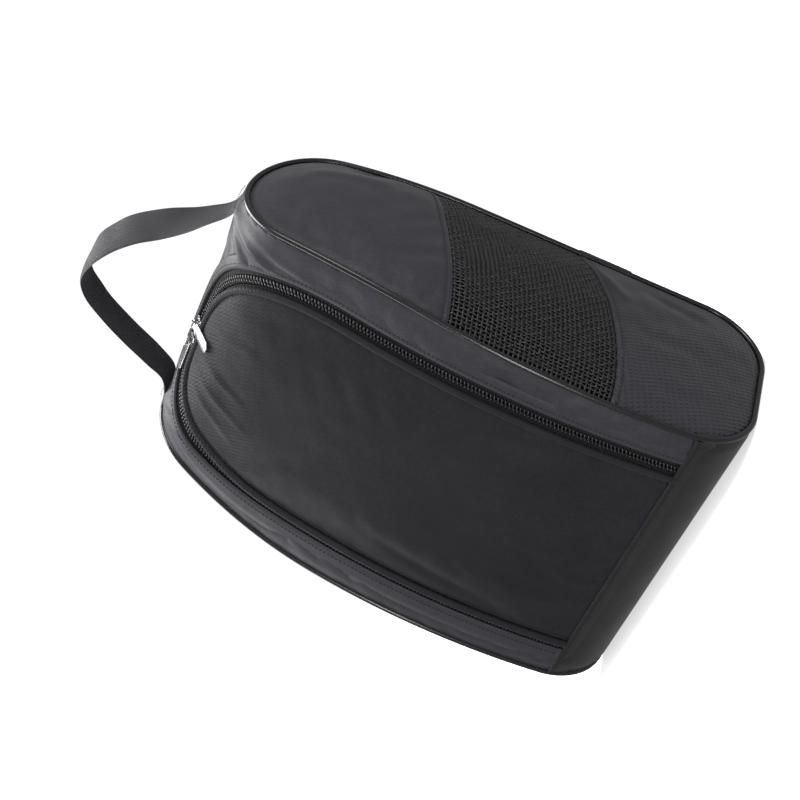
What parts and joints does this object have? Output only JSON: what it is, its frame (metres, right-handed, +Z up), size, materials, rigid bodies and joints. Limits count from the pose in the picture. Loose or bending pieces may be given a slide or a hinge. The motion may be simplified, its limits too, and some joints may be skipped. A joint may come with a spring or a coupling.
{
  "type": "golf shoe bag",
  "caption": "Upright zipped bag for a pair of golf shoes: bowed front door, rounded top, mesh-vented ends and a webbing carry handle.",
  "frame": {"origin": "on the floor, in the middle of the flat of the base", "axes": "+Z up with the bag standing on its base, the zipped door faces -Y, +X is the right-hand end seen from the front"},
  "size_m": [0.247, 0.1521, 0.4315],
  "materials": {
    "nylon": "plain woven nylon, satin",
    "door_nylon": "plain woven nylon with a faint dobby weave, satin",
    "dobby_nylon": "dobby weave nylon",
    "vent_mesh": "open knitted mesh",
    "coated_base": "smooth coated fabric",
    "piping_vinyl": "semi-gloss vinyl cord",
    "binding_tape": "woven tape",
    "zip_tape": "woven zip tape",
    "zip_coil": "moulded nylon coil",
    "webbing": "ribbed webbing",
    "bright_metal": "polished, nickel plated",
    "board": "sheet plastic"
  },
  "bodies": {
    "bag": {"base_panel": "coated_base", "base_board": "board", "front_gusset": "nylon", "back_panel": "nylon", "end_panel_upper_left": "nylon", "end_panel_upper_right": "nylon", "end_mesh_vent_left": "vent_mesh", "end_mesh_vent_right": "vent_mesh", "end_panel_lower_left": "dobby_nylon", "end_panel_lower_right": "dobby_nylon", "piping_left": "piping_vinyl", "piping_right": "piping_vinyl", "seam_binding_left": "binding_tape", "seam_binding_right": "binding_tape", "zip_tape_bag": "zip_tape", "zip_teeth_bag": "zip_coil", "back_strap": "webbing", "handle_anchor_left": "webbing", "handle_anchor_right": "webbing"},
    "door": {"door_panel": "door_nylon", "door_welt": "door_nylon", "zip_tape_door": "zip_tape", "zip_teeth_door": "zip_coil"},
    "handle": {"handle_webbing": "webbing"},
    "slider_left": {"slider_left": "bright_metal"},
    "slider_right": {"slider_right": "bright_metal"},
    "pull_left": {"pull_left": "bright_metal"},
    "pull_right": {"pull_right": "bright_metal"}
  },
  "joints": [
    {"name": "door_hinge", "type": "hinge", "parent": "bag", "child": "door", "pos_m": [0, -0.0717, 0.035], "axis": [1, 0, 0], "range_deg": [0, 95]},
    {"name": "handle_swing", "type": "hinge", "parent": "bag", "child": "handle", "pos_m": [0, 0, 0.3646], "axis": [1, 0, 0], "range_deg": [-85, 85]},
    {"name": "slider_left_slide", "type": "slide", "parent": "door", "child": "slider_left", "axis": [-1, 0, 0], "range_m": [0, 0.01]},
    {"name": "slider_right_slide", "type": "slide", "parent": "door", "child": "slider_right", "axis": [1, 0, 0], "range_m": [0, 0.01]},
    {"name": "pull_left_pivot", "type": "hinge", "parent": "slider_left", "child": "pull_left", "pos_m": [-0.0205, -0.02516, 0.34557], "axis": [0, 0.888, 0.4599], "range_deg": [0, 150]},
    {"name": "pull_right_pivot", "type": "hinge", "parent": "slider_right", "child": "pull_right", "pos_m": [-0.0055, -0.02594, 0.34708], "axis": [1, 0, 0], "range_deg": [-150, 0]}
  ]
}
